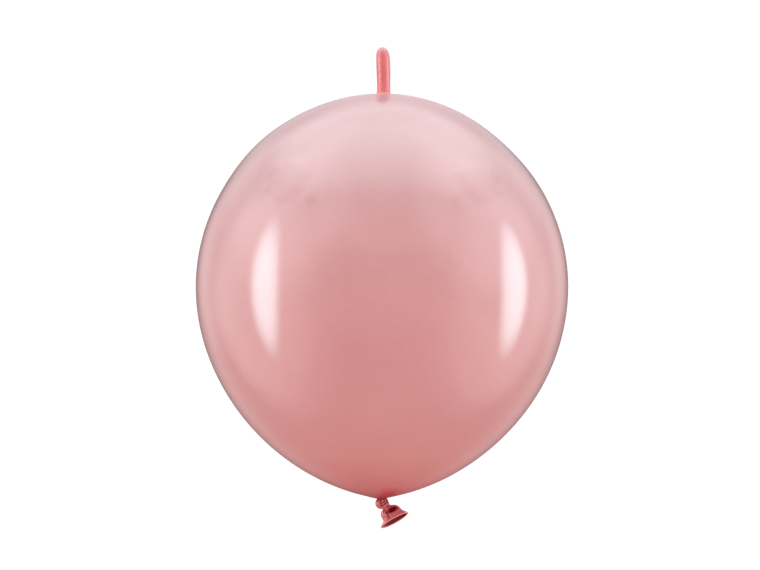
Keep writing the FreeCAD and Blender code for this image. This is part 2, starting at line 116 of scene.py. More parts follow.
def skin_rings(name, rings, close_start=False, close_end=False):
    """A tube of quads through rings of points that all have the same count."""
    count = len(rings[0])
    points = [point for ring in rings for point in ring]
    faces = []
    for row in range(len(rings) - 1):
        for column in range(count):
            following = (column + 1) % count
            faces.append((
                row * count + column,
                row * count + following,
                (row + 1) * count + following,
                (row + 1) * count + column,
            ))
    if close_start:
        points.append(sum(rings[0], Vector()) / count)
        for column in range(count):
            faces.append((len(points) - 1, (column + 1) % count, column))
    if close_end:
        points.append(sum(rings[-1], Vector()) / count)
        base = (len(rings) - 1) * count
        for column in range(count):
            faces.append((len(points) - 1, base + column, base + (column + 1) % count))
    return make_object(name, points, faces)


def mark_painted_shade(piece, shades):
    """Stores painted shade for each point, strongest deep in a fold or seam, for the material to
    darken.
    """
    fold = piece.data.attributes.new("fold", "FLOAT", "POINT")
    fold.data.foreach_set("value", shades)


def apply_modifiers(piece):
    """Bakes the piece's modifiers into its mesh."""
    graph = bpy.context.evaluated_depsgraph_get()
    mesh = bpy.data.meshes.new_from_object(piece.evaluated_get(graph))
    piece.modifiers.clear()
    old = piece.data
    piece.data = mesh
    bpy.data.meshes.remove(old)
    for polygon in piece.data.polygons:
        polygon.use_smooth = True
    return piece


def thicken(piece, thickness, offset, inside_material):
    """Gives an open film two faces and a rim; the inside may have its own material."""
    modifier = piece.modifiers.new("wall", "SOLIDIFY")
    modifier.thickness = thickness
    modifier.offset = offset
    modifier.material_offset = inside_material
    return apply_modifiers(piece)


def remesh(piece, voxel, smoothing):
    """Melts overlapping tubes into one closed skin with soft creases."""
    modifier = piece.modifiers.new("melt", "REMESH")
    modifier.mode = "VOXEL"
    modifier.voxel_size = voxel
    modifier.use_smooth_shade = True
    modifier = piece.modifiers.new("soften", "SMOOTH")
    modifier.factor = 0.5
    modifier.iterations = smoothing
    return apply_modifiers(piece)


# ------------------------------------------------------------------- the body

BODY_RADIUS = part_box("balloon_skin")[1].x
CROWN = 359.0 * MM
EQUATOR = 187.7 * MM
POLE_RADIUS = 6.0 * MM
POLE_HEIGHT = 0.4 * MM
UPPER_HANDLES = (88.1 * MM, 92.8 * MM)
LOWER_HANDLES = (91.8 * MM, 87.1 * MM)
POLE_RISE = 16.3 * MM

UPPER_CURVE = (
    (0.0, CROWN),
    (UPPER_HANDLES[0], CROWN),
    (BODY_RADIUS, EQUATOR + UPPER_HANDLES[1]),
    (BODY_RADIUS, EQUATOR),
)
LOWER_CURVE = (
    (BODY_RADIUS, EQUATOR),
    (BODY_RADIUS, EQUATOR - LOWER_HANDLES[0]),
    (POLE_RADIUS + LOWER_HANDLES[1], POLE_HEIGHT + POLE_RISE),
    (POLE_RADIUS, POLE_HEIGHT),
)
HALVINGS = 50             # enough to find a place on a curve to the last digit
BODY_STEPS = 72
BODY_SIDES = 192
TUCK = 0.5 * MM           # a film's edge runs this far under its neighbour
TUCK_DEPTH = 0.05 * MM
CROWN_SEAM = 12.0 * MM
POLE_SEAM = 24.0 * MM
# how far the film leans to +X, at what height, and over what half height
SWAYS = ((-1.4 * MM, 318 * MM, 26 * MM), (0.3 * MM, 100 * MM, 40 * MM))


def curve_point(poles, t):
    weights = ((1 - t) ** 3, 3 * t * (1 - t) ** 2, 3 * t * t * (1 - t), t ** 3)
    return tuple(sum(w * pole[i] for w, pole in zip(weights, poles)) for i in (0, 1))


def share_at_radius(poles, radius, rising):
    """Where along a curve the film has this radius."""
    low = 0.0
    high = 1.0
    for _ in range(HALVINGS):
        middle = 0.5 * (low + high)
        smaller = curve_point(poles, middle)[0] < radius
        if smaller == rising:
            low = middle
        else:
            high = middle
    return 0.5 * (low + high)


def body_sway(z):
    """The film is not perfectly round: its shoulder leans a little to -X."""
    return sum(lean * bump(height, reach, z) for lean, height, reach in SWAYS)


def body_ring(radius, z, sides=BODY_SIDES):
    ring = []
    for column in range(sides):
        angle = 2 * math.pi * column / sides
        ring.append(Vector((
            body_sway(z) + radius * math.cos(angle),
            radius * math.sin(angle),
            z,
        )))
    return ring


def make_body():
    start = share_at_radius(UPPER_CURVE, CROWN_SEAM, True)
    end = share_at_radius(LOWER_CURVE, POLE_SEAM, False)
    rings = []
    for row in range(BODY_STEPS + 1):
        rings.append(body_ring(*curve_point(UPPER_CURVE, start + (1 - start) * row / BODY_STEPS)))
    for row in range(1, BODY_STEPS + 1):
        rings.append(body_ring(*curve_point(LOWER_CURVE, end * row / BODY_STEPS)))
    return skin_rings("body_film", rings[::-1])


# ------------------------------------------------------------------- the tail

TAIL_PIVOT = joint_point("tail_lean_side").z
TAIL_MIDDLE = joint_point("tail_lean_fore").z
TAIL_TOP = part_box("tail_tip")[1].z + 1.0 * MM
TAIL_SIDES = 64
TAIL_SEAM = 0.5 * (TAIL_PIVOT + TAIL_MIDDLE)
# height above the crown and outside radius
TAIL_PROFILE = (
    (2.0 * MM, 5.95 * MM),
    (3.8 * MM, 5.86 * MM),
    (9.0 * MM, 5.88 * MM),
    (16.0 * MM, 6.08 * MM),
    (22.0 * MM, 6.2 * MM),
    (29.0 * MM, 6.12 * MM),
    (33.0 * MM, 5.95 * MM),
)
TAIL_DOME = 33.0 * MM
DOME_BLUNTNESS = 0.9      # 1 is round, less is blunter
FILLET_RADIUS = 7.3 * MM  # where the crown's film starts to turn up into the tail
TAIL_LEAN = -0.034        # how far the tail runs to +X as it rises
TAIL_BOW = 0.35 * MM
TAIL_LENGTH = 40 * MM


def tail_center(z):
    """The tail leans and curves a little to -X."""
    rise = max(0.0, z - CROWN)
    return TAIL_LEAN * rise + TAIL_BOW * math.sin(rise / TAIL_LENGTH * math.pi)


def tail_ring(radius, z):
    ring = []
    for column in range(TAIL_SIDES):
        angle = 2 * math.pi * column / TAIL_SIDES
        ring.append(Vector((
            tail_center(z) + radius * math.cos(angle),
            radius * math.sin(angle),
            z,
        )))
    return ring


def crown_height(radius):
    return curve_point(UPPER_CURVE, share_at_radius(UPPER_CURVE, radius, True))[1]


def make_tail_root():
    """From the crown's film up to half way between the two bending places."""
    tucked = tail_ring(CROWN_SEAM + TUCK, crown_height(CROWN_SEAM + TUCK) - TUCK_DEPTH)
    rings = [tucked]
    film_steps = 12
    for row in range(film_steps):
        radius = CROWN_SEAM + (FILLET_RADIUS - CROWN_SEAM) * row / film_steps
        rings.append(tail_ring(radius, crown_height(radius)))
    base, straight = TAIL_PROFILE[0]
    start = crown_height(FILLET_RADIUS)
    fillet_steps = 10
    for row in range(fillet_steps):
        turn = 0.5 * math.pi * row / fillet_steps
        radius = FILLET_RADIUS + (straight - FILLET_RADIUS) * math.sin(turn)
        rings.append(tail_ring(radius, start + (CROWN + base - start) * (1 - math.cos(turn))))
    steps = 24
    for row in range(steps + 1):
        rise = base + (TAIL_SEAM - CROWN - base) * row / steps
        rings.append(tail_ring(between(TAIL_PROFILE, rise), CROWN + rise))
    return skin_rings("tail_root_film", rings)


def make_tail_end():
    """The upper half of the tail with its closed, thicker tip."""
    rings = []
    steps = 36
    for row in range(steps + 1):
        rise = TAIL_SEAM - CROWN + (TAIL_DOME - (TAIL_SEAM - CROWN)) * row / steps
        rings.append(tail_ring(between(TAIL_PROFILE, rise), CROWN + rise))
    dome_radius = between(TAIL_PROFILE, TAIL_DOME)
    dome_height = TAIL_TOP - CROWN - TAIL_DOME
    dome_steps = 18
    for row in range(1, dome_steps):
        angle = 0.5 * math.pi * row / dome_steps
        radius = dome_radius * math.cos(angle) ** DOME_BLUNTNESS
        rings.append(tail_ring(radius, CROWN + TAIL_DOME + dome_height * math.sin(angle)))
    return skin_rings("tail_end_film", rings, close_end=True)


# ------------------------------------------------------------ the pole's film

NECK_SIDES = 192
PLEATS = (  # angle in degrees, half width in degrees, height
    (262.0, 15.0, 1.0), (297.0, 13.0, 0.9), (330.0, 12.0, 0.75), (5.0, 14.0, 0.95),
    (42.0, 13.0, 0.8), (78.0, 15.0, 1.0), (115.0, 12.0, 0.7), (148.0, 14.0, 0.9),
    (184.0, 15.0, 1.0), (222.0, 13.0, 0.85),
)
PLEAT_MIDDLE = 0.5        # ridges stand above the film by what they have over this
PLEAT_DEPTH = 1.0 * MM
PLEAT_START = POLE_SEAM - 1 * MM
PLEAT_FULL = 4.0 * MM     # the radius at which the pleats have their full depth
ROW_CROWDING = 0.8        # 1 spaces the rows evenly, less crowds them to the neck
POLE_SLOPE = 0.15         # how steeply the film turns down inside the pole's hole
NECK_RADIUS = 3.0 * MM
NECK_TAPER = 0.35         # the share of its radius that the neck loses on its way down
NECK_DROP = 1.6 * MM
NECK_ROWS = 8
NECK_PLEAT = 0.35 * MM


def pleat_height(angle):
    """Ridges of gathered film round the neck, with narrow valleys between."""
    total = 0.0
    for center, width, height in PLEATS:
        away = (math.degrees(angle) - center + 180.0) % 360.0 - 180.0
        total = max(total, height * math.exp(-(away / width) ** 2))
    return total


def make_pole_film():
    """The underside's film, gathered in pleats to the bunched neck."""
    tucked_radius = POLE_SEAM + TUCK
    tucked_height = curve_point(LOWER_CURVE, share_at_radius(LOWER_CURVE, tucked_radius, False))[1]
    rings = [body_ring(tucked_radius, tucked_height + TUCK_DEPTH, NECK_SIDES)]
    steps = 46
    for row in range(steps + 1):
        share = row / steps
        radius = POLE_SEAM + (NECK_RADIUS - POLE_SEAM) * share ** ROW_CROWDING
        if radius > POLE_RADIUS:
            z = curve_point(LOWER_CURVE, share_at_radius(LOWER_CURVE, radius, False))[1]
        else:
            z = POLE_HEIGHT - POLE_SLOPE * (POLE_RADIUS - radius)
        near = smooth(PLEAT_START, PLEAT_FULL, radius)
        ring = []
        for column in range(NECK_SIDES):
            angle = 2 * math.pi * column / NECK_SIDES
            ridge = pleat_height(angle) - PLEAT_MIDDLE
            depth = near ** 2 * PLEAT_DEPTH * ridge
            ring.append(Vector((
                body_sway(z) + radius * math.cos(angle),
                radius * math.sin(angle),
                z - depth,
            )))
        rings.append(ring)
    gathered = rings[-1]
    for row in range(1, NECK_ROWS + 1):
        drop = row / NECK_ROWS
        ring = []
        for column in range(NECK_SIDES):
            angle = 2 * math.pi * column / NECK_SIDES
            ridge = pleat_height(angle) - PLEAT_MIDDLE
            radius = NECK_RADIUS * (1 - NECK_TAPER * drop) + NECK_PLEAT * ridge
            ring.append(Vector((
                radius * math.cos(angle),
                radius * math.sin(angle),
                gathered[column].z - NECK_DROP * drop,
            )))
        rings.append(ring)
    return skin_rings("pole_film", rings[::-1])


# ------------------------------------------------------------------- the knot

def tube_rings(path, section, sides):
    """Rings of a bunched strand along a path; section(share, angle) gives the radius."""
    rings = []
    side = None
    for index, center in enumerate(path):
        ahead = path[min(index + 1, len(path) - 1)]
        behind = path[max(index - 1, 0)]
        along = (ahead - behind).normalized()
        if side is None:
            side = along.orthogonal().normalized()
        side = (side - along * side.dot(along)).normalized()
        other = along.cross(side)
        share = index / (len(path) - 1)
        ring = []
        for column in range(sides):
            angle = 2 * math.pi * column / sides
            radius = section(share, angle)
            ring.append(center + side * radius * math.cos(angle) + other * radius * math.sin(angle))
        rings.append(ring)
    return rings


def spline_path(controls, per_span):
    """A smooth path through given points."""
    points = []
    last = len(controls) - 1
    for index in range(last):
        p0 = controls[max(index - 1, 0)]
        p1 = controls[index]
        p2 = controls[index + 1]
        p3 = controls[min(index + 2, last)]
        for step in range(per_span):
            t = step / per_span
            points.append(0.5 * (
                2 * p1 + (p2 - p0) * t
                + (2 * p0 - 5 * p1 + 4 * p2 - p3) * t * t
                + (3 * p1 - p0 - 3 * p2 + p3) * t ** 3
            ))
    points.append(controls[-1])
    return points


KNOT_TOP = Vector((2.7, 0.0, -1.4)) * MM
KNOT_FOOT = Vector((5.0, 0.0, -6.8)) * MM
STRAND_RADIUS = 1.95 * MM
STRAND_SIDES = 48
# height as a share of the radius, count round the strand, turn along it
STRAND_PLEATS = ((0.05, 6, 5), (0.03, 11, -9))
# how much the loop swells, where along the strand, and over what half length
LOOP_SWELL = (0.22, 0.5, 0.09)
TWIST_RADIUS = 1.85 * MM
TWIST_STEPS = 6
HALF_TURNS = 3
STEPS_PER_SPAN = 10
SAME_TURN = 22            # path steps that still belong to the same turn
# how wide the painted shade is where two turns of the strand meet
SEAM_SHADE_WIDTH = 0.55 * MM
KNOT_VOXEL = 0.2 * MM


def twisted(share, phase):
    """One of the two strands twisted about each other inside the knot."""
    center = KNOT_TOP.lerp(KNOT_FOOT, share)
    down = (KNOT_FOOT - KNOT_TOP).normalized()
    right = Vector((1, 0, 0))
    right = (right - down * right.dot(down)).normalized()
    away = down.cross(right)
    angle = phase + HALF_TURNS * math.pi * share
    return center + (right * math.cos(angle) + away * math.sin(angle)) * TWIST_RADIUS


def knot_path():
    """An overhand knot: in from the neck, three half turns, round, and out to the mouth."""
    points = [Vector((0.4, 0.0, 1.6)) * MM, Vector((1.6, -0.3, 0.2)) * MM]
    for step in range(TWIST_STEPS + 1):
        points.append(twisted(step / TWIST_STEPS, 0.0))
    points += [
        Vector((0.2, 0.6, -7.6)) * MM,
        Vector((-1.5, -0.3, -6.2)) * MM,
        Vector((-1.9, -0.9, -4.4)) * MM,
        Vector((-1.6, -0.6, -2.8)) * MM,
        Vector((-0.4, 0.2, -1.7)) * MM,
    ]
    for step in range(TWIST_STEPS + 1):
        points.append(twisted(step / TWIST_STEPS, math.pi))
    points.append(Vector((7.0, 0.1, -9.4)) * MM)
    return spline_path(points, STEPS_PER_SPAN)


def seam_painted_shade(piece, path):
    """Painted shade, deep where two turns of the strand lie against each other."""
    count = len(piece.data.vertices)
    places = numpy.empty(count * 3)
    piece.data.vertices.foreach_get("co", places)
    places = places.reshape(count, 3)
    centers = numpy.array([tuple(point) for point in path])
    away = numpy.linalg.norm(places[:, None, :] - centers[None, :, :], axis=2)
    nearest = away.argmin(axis=1)
    first = away.min(axis=1)
    steps = numpy.abs(numpy.arange(len(path))[None, :] - nearest[:, None])
    second = numpy.where(steps > SAME_TURN, away, 1.0).min(axis=1)
    return numpy.exp(-((second - first) / SEAM_SHADE_WIDTH) ** 2)


def make_knot():
    path = knot_path()

    def section(share, angle):
        pleats = sum(height * math.cos(count * angle + turn * share)
                     for height, count, turn in STRAND_PLEATS)
        swell, middle, reach = LOOP_SWELL
        return STRAND_RADIUS * (1.0 + swell * bump(middle, reach, share)) * (1.0 + pleats)

    piece = skin_rings("knot", tube_rings(path, section, STRAND_SIDES), True, True)
    remesh(piece, KNOT_VOXEL, 1)
    mark_painted_shade(piece, seam_painted_shade(piece, path))
    return piece


# ------------------------------------------------------------------ the mouth

LEAN = math.radians(30.0)
DOWN = Vector((math.sin(LEAN), 0.0, -math.cos(LEAN)))
LONG = Vector((math.cos(LEAN), 0.0, math.sin(LEAN)))
DEEP = Vector((0.0, 1.0, 0.0))
APEX = Vector((5.85, 0.0, -7.26)) * MM
MOUTH_TIP = 2.5 * MM      # how much further down the far lip hangs than the near one
CUFF_LENGTH = 14.0 * MM
# share of the length, right edge, left edge, half depth; millimetres
CUFF_RIGHT = ((0.0, 1.9), (0.05, 3.4), (0.16, 6.7), (0.3, 8.6), (0.45, 9.6), (0.62, 10.1),
              (0.76, 11.2), (0.88, 12.6), (1.0, 13.0))
CUFF_LEFT = ((0.0, 2.4), (0.05, 4.3), (0.16, 6.9), (0.3, 8.5), (0.45, 8.9), (0.62, 8.8),
             (0.76, 9.3), (0.88, 11.6), (1.0, 12.9))
CUFF_DEPTH = ((0.0, 2.0), (0.05, 2.7), (0.16, 3.9), (0.3, 4.7), (0.45, 4.7), (0.62, 4.3),
              (0.76, 4.2), (0.88, 4.6), (1.0, 4.9))
CUFF_SIDES = 160
CUFF_ROWS = 90
CUFF_WALL = 0.45 * MM
CUFF_CORNER = 0.9         # 1 makes the section an ellipse, less makes it fuller
TIP_START = 0.15          # the far lip starts to hang lower from this share of the length
NEAR_WALL = (0.05, 0.6)   # from where to where, towards the camera, the folds set in
# Folds of the near wall. A spot has a place along the mouth and a half extent, in millimetres,
# and a place down the cuff and a half extent, as shares of the cuff's length.
SPOTS = {
    "dimple": (2.9, 4.4, 0.37, 0.17),
    "pit": (-2.6, 0.9, 0.11, 0.045),
    "welt": (-0.9, 0.9, 0.13, 0.08),
    "brow": (3.2, 4.5, 0.16, 0.07),
}
# A band has a place along the mouth and a half extent, and the shares of the cuff's length at
# which it starts, is full, starts to end and has ended.
BANDS = {
    "pleat": (-5.8, 1.9, 0.0, 0.25, 0.78, 0.98),
    "crease": (-2.9, 0.8, 0.08, 0.3, 0.7, 0.95),
}
# how far each fold pushes the film into the mouth, in millimetres
FOLD_DEPTHS = {
    "dimple": 4.6, "pleat": -1.2, "crease": 1.3, "pit": 1.3, "welt": -0.7, "brow": -0.9,
}
# how much painted shade each fold gets
FOLD_SHADES = {"dimple": 2.2, "crease": 0.6, "pit": 0.6}
RIDGE_HEIGHT = 0.09 * MM
RIDGE_TURNS = 95.0
RIDGE_START = (0.45, 0.8)


def cuff_half(share, angle):
    """How far the mouth reaches to the side that the angle is on, in millimetres."""
    edge = CUFF_RIGHT if math.cos(angle) > 0 else CUFF_LEFT
    return between(edge, share)


def cuff_folds(share, angle):
    """How strongly each fold of the near wall shows at a place."""
    along = cuff_half(share, angle) * math.cos(angle)
    near = smooth(*NEAR_WALL, -math.sin(angle))
    folds = {}
    for name, (place, reach, down, down_reach) in SPOTS.items():
        folds[name] = near * bump(place, reach, along) * bump(down, down_reach, share)
    for name, (place, reach, start, full, ending, end) in BANDS.items():
        length = smooth(start, full, share) * smooth(end, ending, share)
        folds[name] = near * bump(place, reach, along) * length
    return folds


def cuff_point(share, angle):
    """A point of the mouth's film; angle 0 is its right end, 270 degrees its near side."""
    deep = math.sin(angle)
    along = cuff_half(share, angle) * MM * math.cos(angle)
    section = math.copysign(abs(deep) ** CUFF_CORNER, deep)
    depth = between(CUFF_DEPTH, share) * MM * section
    down = CUFF_LENGTH * share + MOUTH_TIP * deep * smooth(TIP_START, 1.0, share)
    folds = cuff_folds(share, angle)
    depth += sum(FOLD_DEPTHS[name] * folds[name] for name in FOLD_DEPTHS) * MM
    # fine ridges that follow the lip, as left by rolling the bead
    ridge = smooth(*RIDGE_START, share) * math.sin(share * RIDGE_TURNS) * RIDGE_HEIGHT
    depth += ridge * math.copysign(1.0, deep)
    return APEX + LONG * along + DEEP * depth + DOWN * down


def make_cuff():
    rings = []
    shades = []
    for row in range(CUFF_ROWS, -1, -1):
        share = row / CUFF_ROWS
        ring = []
        for column in range(CUFF_SIDES):
            angle = 2 * math.pi * column / CUFF_SIDES
            ring.append(cuff_point(share, angle))
            folds = cuff_folds(share, angle)
            # painted shade: the dimple, crease and pit are darkened as if they lay in shade
            shade = sum(FOLD_SHADES[name] * folds[name] for name in FOLD_SHADES)
            shades.append(min(1.0, shade))
        rings.append(ring)
    piece = skin_rings("mouth_cuff_film", rings)
    mark_painted_shade(piece, shades)
    return piece


LIP_SIDES = 220
LIP_TUBE_SIDES = 24
LIP_RADIUS = 0.72 * MM
LIP_WAVE = (0.06, 5, 1.0)      # share of the radius, count round the mouth, phase
LIP_ROLL = (0.07, 4)           # share of the radius, count round the bead
LIP_OVERHANG = 0.2 * MM
NEARBY = 0.01                  # a small angle, to find which way the lip runs
WELD_DISTANCE = 0.01 * MM


def make_lip():
    """The bead rolled from the edge of the film."""
    rings = []
    wave, wave_count, wave_phase = LIP_WAVE
    roll_share, roll_count = LIP_ROLL
    for column in range(LIP_SIDES):
        angle = 2 * math.pi * column / LIP_SIDES
        center = cuff_point(1.0, angle)
        ahead = cuff_point(1.0, angle + NEARBY) - cuff_point(1.0, angle - NEARBY)
        along = ahead.normalized()
        outward = (center - APEX - DOWN * CUFF_LENGTH).normalized()
        outward = (outward - along * outward.dot(along)).normalized()
        under = along.cross(outward)
        radius = LIP_RADIUS * (1.0 + wave * math.sin(wave_count * angle + wave_phase))
        ring = []
        for step in range(LIP_TUBE_SIDES):
            turn = 2 * math.pi * step / LIP_TUBE_SIDES
            roll = radius * (1.0 + roll_share * math.cos(roll_count * turn))
            aside = outward * (roll * math.cos(turn) + LIP_OVERHANG)
            ring.append(center + aside + under * roll * math.sin(turn))
        rings.append(ring)
    rings.append(rings[0])
    piece = skin_rings("mouth_lip_bead", rings)
    modifier = piece.modifiers.new("weld", "WELD")
    modifier.merge_threshold = WELD_DISTANCE
    return apply_modifiers(piece)


# -------------------------------------------------------------- the materials

CLOUD_SCALE = 16.0
CLOUD_DETAIL = 5.0
CLOUD_SHARE = 0.10
MOTTLE_DETAIL = 8.0
MOTTLE_SHARE = 0.05
RELIEF_STRENGTH = 0.3
PATCHY_GLOSS = (0.75, 1.25)    # how much the clouds change the roughness
OPEN_SPECULAR = 0.5
FOLD_SPECULAR = 0.06
LATEX_IOR = 1.52


def socket(shader, name, value):
    shader.inputs[name].default_value = value


def formula(tree, operation, *terms):
    """One arithmetic node; terms are numbers or sockets."""
    node = tree.nodes.new("ShaderNodeMath")
    node.operation = operation
    for slot, term in zip(node.inputs, terms):
        if isinstance(term, float):
            slot.default_value = term
        else:
            tree.links.new(term, slot)
    return node.outputs[0]


def noise(nodes, links, place, scale, detail):
    texture = nodes.new("ShaderNodeTexNoise")
    socket(texture, "Scale", scale)
    socket(texture, "Detail", detail)
    links.new(place.outputs["Object"], texture.inputs["Vector"])
    return texture


def overlay(nodes, links, share, color, pattern):
    """Lets a grey pattern lighten and darken a colour a little."""
    mix = nodes.new("ShaderNodeMixRGB")
    mix.blend_type = "OVERLAY"
    socket(mix, "Fac", share)
    links.new(color, mix.inputs["Color1"])
    links.new(pattern, mix.inputs["Color2"])
    return mix.outputs["Color"]


def latex(name, stops, grain, relief_depth, fold_shade_color=None, ior=LATEX_IOR):
    """Glossy latex; stops are (height, colour, roughness), paler where the film is stretched, with
    painted light and shade where the stops carry them.
    """
    material = bpy.data.materials.new(name)
    material.use_nodes = True
    nodes = material.node_tree.nodes
    links = material.node_tree.links
    shader = nodes["Principled BSDF"]
    socket(shader, "IOR", ior)
    place = nodes.new("ShaderNodeTexCoord")
    split = nodes.new("ShaderNodeSeparateXYZ")
    links.new(place.outputs["Object"], split.inputs[0])
    low = stops[0][0]
    high = stops[-1][0]
    spread = nodes.new("ShaderNodeMapRange")
    socket(spread, "From Min", low)
    socket(spread, "From Max", high)
    links.new(split.outputs["Z"], spread.inputs["Value"])
    ramp = nodes.new("ShaderNodeValToRGB")
    links.new(spread.outputs["Result"], ramp.inputs["Fac"])
    marks = ramp.color_ramp.elements
    while len(marks) < len(stops):
        marks.new(0.5)
    for mark, (height, color, roughness) in zip(marks, stops):
        mark.position = (height - low) / (high - low)
        mark.color = (*color, roughness)
    # soft clouds of thicker and thinner film, and a fine mottle over them
    cloud = noise(nodes, links, place, CLOUD_SCALE, CLOUD_DETAIL)
    mottle = noise(nodes, links, place, grain, MOTTLE_DETAIL)
    color = overlay(nodes, links, CLOUD_SHARE, ramp.outputs["Color"], cloud.outputs["Fac"])
    color = overlay(nodes, links, MOTTLE_SHARE, color, mottle.outputs["Fac"])
    # painted shade: the stored shade darkens the colour towards the fold shade colour
    if fold_shade_color is not None:
        fold = nodes.new("ShaderNodeAttribute")
        fold.attribute_name = "fold"
        deep = nodes.new("ShaderNodeMixRGB")
        socket(deep, "Color2", (*fold_shade_color, 1.0))
        links.new(fold.outputs["Fac"], deep.inputs["Fac"])
        links.new(color, deep.inputs["Color1"])
        color = deep.outputs["Color"]
        # a fold hardly mirrors the studio, because its own walls stand in the way: the painted
        # shade dims its reflections too
        sheltered = nodes.new("ShaderNodeMapRange")
        socket(sheltered, "To Min", OPEN_SPECULAR)
        socket(sheltered, "To Max", FOLD_SPECULAR)
        links.new(fold.outputs["Fac"], sheltered.inputs["Value"])
        links.new(sheltered.outputs["Result"], shader.inputs["Specular IOR Level"])
    links.new(color, shader.inputs["Base Color"])
    patchy = nodes.new("ShaderNodeMapRange")
    socket(patchy, "To Min", PATCHY_GLOSS[0])
    socket(patchy, "To Max", PATCHY_GLOSS[1])
    links.new(cloud.outputs["Fac"], patchy.inputs["Value"])
    gloss = formula(material.node_tree, "MULTIPLY",
                    patchy.outputs["Result"], ramp.outputs["Alpha"])
    links.new(gloss, shader.inputs["Roughness"])
    relief = nodes.new("ShaderNodeBump")
    socket(relief, "Strength", RELIEF_STRENGTH)
    socket(relief, "Distance", relief_depth)
    links.new(mottle.outputs["Fac"], relief.inputs["Height"])
    links.new(relief.outputs["Normal"], shader.inputs["Normal"])
    return material


def dress(piece, material):
    piece.data.materials.clear()
    piece.data.materials.append(material)


# ---------------------------------------------------------------- the colours

DEEP_CORAL = (0.52, 0.075, 0.07)
# painted shade: the dark red put into folds and between the knot's turns
FOLD_SHADE_RED = (0.21, 0.003, 0.004)
# painted shade: the dark red of the mouth's inside
MOUTH_SHADE_RED = (0.24, 0.02, 0.02)
TAIL_CORAL = (0.70, 0.135, 0.14)
# painted sheen: the crown's pale, whitish coral stands in for the light falling on the top
CROWN_SHEEN_CORAL = (0.57, 0.28, 0.29)
# The body deepens and darkens towards the pole, partly the thicker, less stretched film and partly
# painted shade; towards the crown it turns paler, a painted sheen.
# height, colour, roughness
BODY_STOPS = (
    (0.0, (0.34, 0.022, 0.020), 0.36),
    (4.2 * MM, (0.40, 0.024, 0.022), 0.34),
    (8.0 * MM, (0.50, 0.052, 0.048), 0.3),
    (16.0 * MM, (0.56, 0.11, 0.10), 0.24),
    (26.0 * MM, (0.59, 0.165, 0.15), 0.18),
    (43.0 * MM, (0.61, 0.215, 0.20), 0.13),
    (80.0 * MM, (0.625, 0.248, 0.236), 0.11),
    (150.0 * MM, (0.64, 0.26, 0.25), 0.11),
    (230.0 * MM, (0.645, 0.28, 0.28), 0.11),
    (310.0 * MM, (0.60, 0.305, 0.31), 0.13),
    (350.0 * MM, CROWN_SHEEN_CORAL, 0.24),
    (CROWN - 1.5 * MM, CROWN_SHEEN_CORAL, 0.36),
    (CROWN, CROWN_SHEEN_CORAL, 0.5),
)
TAIL_STOPS = (
    (CROWN - 0.1 * MM, CROWN_SHEEN_CORAL, 0.5),
    (CROWN + 1.8 * MM, (0.80, 0.15, 0.155), 0.42),
    (CROWN + 12.0 * MM, TAIL_CORAL, 0.3),
    (CROWN + 34.0 * MM, TAIL_CORAL, 0.3),
    (TAIL_TOP, (0.62, 0.28, 0.27), 0.34),
)
KNOT_STOPS = (
    (-27.0 * MM, (0.62, 0.13, 0.13), 0.24),
    (-10.0 * MM, (0.60, 0.115, 0.115), 0.22),
    (-5.0 * MM, (0.60, 0.115, 0.115), 0.22),
    (-1.0 * MM, DEEP_CORAL, 0.26),
    (2.0 * MM, (0.36, 0.024, 0.022), 0.32),
)
# painted light: the rolled bead is paler than the cuff, as where it catches the light from above
LIP_LIT_STOPS = (
    (-28.0 * MM, (0.74, 0.22, 0.215), 0.26),
    (-11.0 * MM, (0.72, 0.20, 0.195), 0.26),
)
# painted shade inside the mouth, darker further up inside
MOUTH_SHADE_STOPS = (
    (-27.0 * MM, MOUTH_SHADE_RED, 0.5),
    (-14.0 * MM, (0.12, 0.006, 0.006), 0.5),
)

# how fine the mottle is, and how deep its relief: finer where the film is less stretched
BODY_GRAIN = (260.0, 0.008 * MM)
TAIL_GRAIN = (500.0, 0.012 * MM)
MOUTH_GRAIN = (900.0, 0.03 * MM)
INSIDE_IOR = 1.25         # the inside of the mouth mirrors less

film_latex = latex("film_latex", BODY_STOPS, *BODY_GRAIN)
tail_latex = latex("tail_latex", TAIL_STOPS, *TAIL_GRAIN)
knot_latex = latex("knot_latex", KNOT_STOPS, *MOUTH_GRAIN, fold_shade_color=FOLD_SHADE_RED)
lip_lit_latex = latex("lip_lit_latex", LIP_LIT_STOPS, *MOUTH_GRAIN)
mouth_shade_latex = latex("mouth_shade_latex", MOUTH_SHADE_STOPS, *MOUTH_GRAIN, ior=INSIDE_IOR)

# --------------------------------------------------------------- put together

body = make_body()
dress(body, film_latex)
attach(body, "balloon")
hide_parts("balloon_skin")

tail_root = make_tail_root()
dress(tail_root, tail_latex)
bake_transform(tail_root)
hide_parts("crown_collar", "tail_lower")

tail_end = make_tail_end()
dress(tail_end, tail_latex)
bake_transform(tail_end)
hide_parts("tail_upper", "tail_tip")

pole_film = make_pole_film()
dress(pole_film, film_latex)
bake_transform(pole_film)
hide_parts("neck_gather")

knot = make_knot()
dress(knot, knot_latex)
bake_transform(knot)
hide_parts("knot_wrap", "knot_strand")

cuff = make_cuff()
dress(cuff, knot_latex)
cuff.data.materials.append(mouth_shade_latex)
thicken(cuff, CUFF_WALL, -1.0, inside_material=1)
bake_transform(cuff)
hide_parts("mouth_cuff")

lip = make_lip()
dress(lip, lip_lit_latex)
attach(lip, "mouth")
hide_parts("mouth_lip")

# ------------------------------------------------------- floor, light, camera

FLOOR_HEIGHT = -0.95
FLOOR_RADIUS = 5.2
FLOOR_COLOR = (0.86, 0.85, 0.85)
FLOOR_GLOW = 0.25
COVE_RADIUS = 6.0
COVE_TIP = 0.01           # radius of the cove's rows at its two ends
COVE_GLOW = 1.05
COVE_ROWS = 24
STAGE_SIDES = 96
MATT = 0.9


